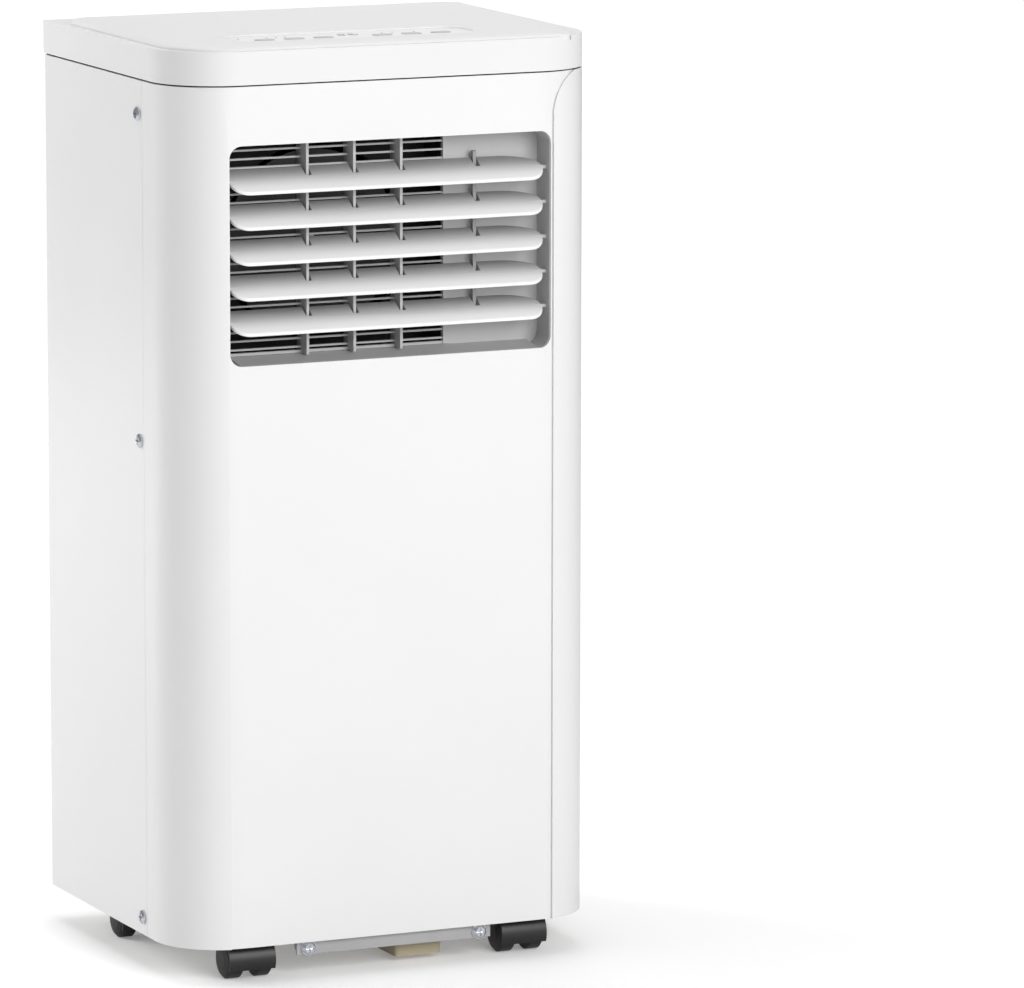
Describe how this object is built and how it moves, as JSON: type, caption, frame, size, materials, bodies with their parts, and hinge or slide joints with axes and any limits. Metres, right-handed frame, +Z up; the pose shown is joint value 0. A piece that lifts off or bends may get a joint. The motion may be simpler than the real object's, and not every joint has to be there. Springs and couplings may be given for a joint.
{
  "type": "portable air conditioner",
  "caption": "Floor-standing portable air conditioner: boxy white casing, swinging front louvers, top control strip, rear exhaust collar and swivel casters.",
  "frame": {"origin": "on the floor under the middle of the unit's bounding box", "axes": "+X the unit's right seen from the front, +Y to its back, +Z up; the louvers face -Y"},
  "size_m": [0.3358, 0.261, 0.6755],
  "materials": {
    "shell_plastic": "satin gloss white moulding",
    "lid_plastic": "fine-textured white moulding",
    "button_plastic": "soft grey cap",
    "display_glass": "hidden-lit white lens",
    "louver_plastic": "satin white blade",
    "outlet_plastic": "light grey moulding",
    "base_plastic": "natural moulding",
    "painted_steel": "grey powder coat",
    "sump_plastic": "beige moulding",
    "screw_steel": "bright zinc",
    "caster_plastic": "black nylon",
    "rubber": "black rubber",
    "fan_plastic": "black moulding",
    "scroll_foam": "black moulding",
    "motor_steel": "plated steel",
    "compressor_paint": "black enamel",
    "copper": "drawn copper tube",
    "coil_aluminium": "fin stock",
    "board": "green board",
    "filter_plastic": "grey net in a frame"
  },
  "bodies": {
    "casing": {"accumulator": "compressor_paint", "base_pan": "base_plastic", "base_screws": "screw_steel", "base_washers": "screw_steel", "capacitor": "motor_steel", "compressor": "compressor_paint", "compressor_mounts": "rubber", "condenser_coil": "coil_aluminium", "control_board": "board", "control_box": "painted_steel", "control_panel": "lid_plastic", "cord_gland": "base_plastic", "discharge_pipe": "copper", "display_window": "display_glass", "drain_sump": "sump_plastic", "drip_tray": "base_plastic", "evaporator_coil": "coil_aluminium", "exhaust_outlet": "shell_plastic", "front_shell": "shell_plastic", "front_strip": "painted_steel", "lower_fan_motor": "motor_steel", "lower_rear_grille": "shell_plastic", "lower_scroll": "scroll_foam", "outlet_grille": "outlet_plastic", "rear_screws": "screw_steel", "rear_shell": "shell_plastic", "side_screws": "screw_steel", "suction_pipe": "copper", "top_lid": "lid_plastic", "top_ring": "lid_plastic", "upper_fan_motor": "motor_steel", "upper_rear_grille": "shell_plastic", "upper_scroll": "scroll_foam", "vent_housing": "outlet_plastic"},
    "louver_1": {"louver_1": "louver_plastic"},
    "louver_2": {"louver_2": "louver_plastic"},
    "louver_3": {"louver_3": "louver_plastic"},
    "louver_4": {"louver_4": "louver_plastic"},
    "louver_5": {"louver_5": "louver_plastic"},
    "louver_link": {"louver_link": "louver_plastic"},
    "mode_button": {"mode_button": "button_plastic"},
    "power_button": {"power_button": "button_plastic"},
    "swing_button": {"swing_button": "button_plastic"},
    "temperature_down_button": {"temperature_down_button": "button_plastic"},
    "temperature_up_button": {"temperature_up_button": "button_plastic"},
    "timer_button": {"timer_button": "button_plastic"},
    "caster_hood_front_left": {"caster_hood_front_left": "caster_plastic"},
    "caster_wheels_front_left": {"caster_wheels_front_left": "caster_plastic"},
    "caster_hood_front_right": {"caster_hood_front_right": "caster_plastic"},
    "caster_wheels_front_right": {"caster_wheels_front_right": "caster_plastic"},
    "caster_hood_rear_left": {"caster_hood_rear_left": "caster_plastic"},
    "caster_wheels_rear_left": {"caster_wheels_rear_left": "caster_plastic"},
    "caster_hood_rear_right": {"caster_hood_rear_right": "caster_plastic"},
    "caster_wheels_rear_right": {"caster_wheels_rear_right": "caster_plastic"},
    "intake_filter": {"intake_filter": "filter_plastic"},
    "drain_plug": {"drain_plug": "rubber"},
    "upper_fan_wheel": {"upper_fan_wheel": "fan_plastic"},
    "lower_fan_wheel": {"lower_fan_wheel": "fan_plastic"}
  },
  "joints": [
    {"name": "louver_1_swing", "type": "hinge", "parent": "casing", "child": "louver_1", "pos_m": [0, -0.1179, 0.5769], "axis": [1, 0, 0], "range_deg": [-45, 48]},
    {"name": "louver_2_swing", "type": "hinge", "parent": "casing", "child": "louver_2", "pos_m": [0, -0.1179, 0.5517], "axis": [1, 0, 0], "range_deg": [-45, 48]},
    {"name": "louver_3_swing", "type": "hinge", "parent": "casing", "child": "louver_3", "pos_m": [0, -0.1179, 0.5265], "axis": [1, 0, 0], "range_deg": [-45, 48]},
    {"name": "louver_4_swing", "type": "hinge", "parent": "casing", "child": "louver_4", "pos_m": [0, -0.1179, 0.5013], "axis": [1, 0, 0], "range_deg": [-45, 48]},
    {"name": "louver_5_swing", "type": "hinge", "parent": "casing", "child": "louver_5", "pos_m": [0, -0.1179, 0.4761], "axis": [1, 0, 0], "range_deg": [-45, 48]},
    {"name": "louver_link_pivot", "type": "hinge", "parent": "louver_1", "child": "louver_link", "pos_m": [0.072, -0.10847, 0.57706], "axis": [1, 0, 0], "range_deg": [-48, 45]},
    {"name": "mode_press", "type": "slide", "parent": "casing", "child": "mode_button", "axis": [0, 0, -1], "range_m": [0, 0.0008], "stiffness_N_per_m": 400},
    {"name": "power_press", "type": "slide", "parent": "casing", "child": "power_button", "axis": [0, 0, -1], "range_m": [0, 0.0008], "stiffness_N_per_m": 400},
    {"name": "swing_press", "type": "slide", "parent": "casing", "child": "swing_button", "axis": [0, 0, -1], "range_m": [0, 0.0008], "stiffness_N_per_m": 400},
    {"name": "temperature_down_press", "type": "slide", "parent": "casing", "child": "temperature_down_button", "axis": [0, 0, -1], "range_m": [0, 0.0008], "stiffness_N_per_m": 400},
    {"name": "temperature_up_press", "type": "slide", "parent": "casing", "child": "temperature_up_button", "axis": [0, 0, -1], "range_m": [0, 0.0008], "stiffness_N_per_m": 400},
    {"name": "timer_press", "type": "slide", "parent": "casing", "child": "timer_button", "axis": [0, 0, -1], "range_m": [0, 0.0008], "stiffness_N_per_m": 400},
    {"name": "caster_swivel_front_left", "type": "hinge", "parent": "casing", "child": "caster_hood_front_left", "pos_m": [-0.107, -0.097, 0.04], "axis": [0, 0, 1], "continuous": true},
    {"name": "caster_roll_front_left", "type": "hinge", "parent": "caster_hood_front_left", "child": "caster_wheels_front_left", "pos_m": [-0.107, -0.106, 0.014], "axis": [1, 0, 0], "continuous": true},
    {"name": "caster_swivel_front_right", "type": "hinge", "parent": "casing", "child": "caster_hood_front_right", "pos_m": [0.107, -0.097, 0.04], "axis": [0, 0, 1], "continuous": true},
    {"name": "caster_roll_front_right", "type": "hinge", "parent": "caster_hood_front_right", "child": "caster_wheels_front_right", "pos_m": [0.107, -0.106, 0.014], "axis": [1, 0, 0], "continuous": true},
    {"name": "caster_swivel_rear_left", "type": "hinge", "parent": "casing", "child": "caster_hood_rear_left", "pos_m": [-0.128, 0.059, 0.04], "axis": [0, 0, 1], "continuous": true},
    {"name": "caster_roll_rear_left", "type": "hinge", "parent": "caster_hood_rear_left", "child": "caster_wheels_rear_left", "pos_m": [-0.128, 0.05, 0.014], "axis": [1, 0, 0], "continuous": true},
    {"name": "caster_swivel_rear_right", "type": "hinge", "parent": "casing", "child": "caster_hood_rear_right", "pos_m": [0.128, 0.059, 0.04], "axis": [0, 0, 1], "continuous": true},
    {"name": "caster_roll_rear_right", "type": "hinge", "parent": "caster_hood_rear_right", "child": "caster_wheels_rear_right", "pos_m": [0.128, 0.05, 0.014], "axis": [1, 0, 0], "continuous": true},
    {"name": "filter_draw", "type": "slide", "parent": "casing", "child": "intake_filter", "axis": [1, 0, 0], "range_m": [0, 0.24]},
    {"name": "drain_plug_pull", "type": "slide", "parent": "casing", "child": "drain_plug", "axis": [0, 1, 0], "range_m": [0, 0.022]},
    {"name": "upper_fan_spin", "type": "hinge", "parent": "casing", "child": "upper_fan_wheel", "pos_m": [-0.035, -0.04, 0.5255], "axis": [0, 1, 0], "continuous": true},
    {"name": "lower_fan_spin", "type": "hinge", "parent": "casing", "child": "lower_fan_wheel", "pos_m": [0, 0.028, 0.306], "axis": [0, 1, 0], "continuous": true}
  ],
  "couplings": [
    {"joint": "louver_2_swing", "follows": "louver_1_swing", "ratio": 1},
    {"joint": "louver_3_swing", "follows": "louver_1_swing", "ratio": 1},
    {"joint": "louver_4_swing", "follows": "louver_1_swing", "ratio": 1},
    {"joint": "louver_5_swing", "follows": "louver_1_swing", "ratio": 1},
    {"joint": "louver_link_pivot", "follows": "louver_1_swing", "ratio": -1}
  ]
}
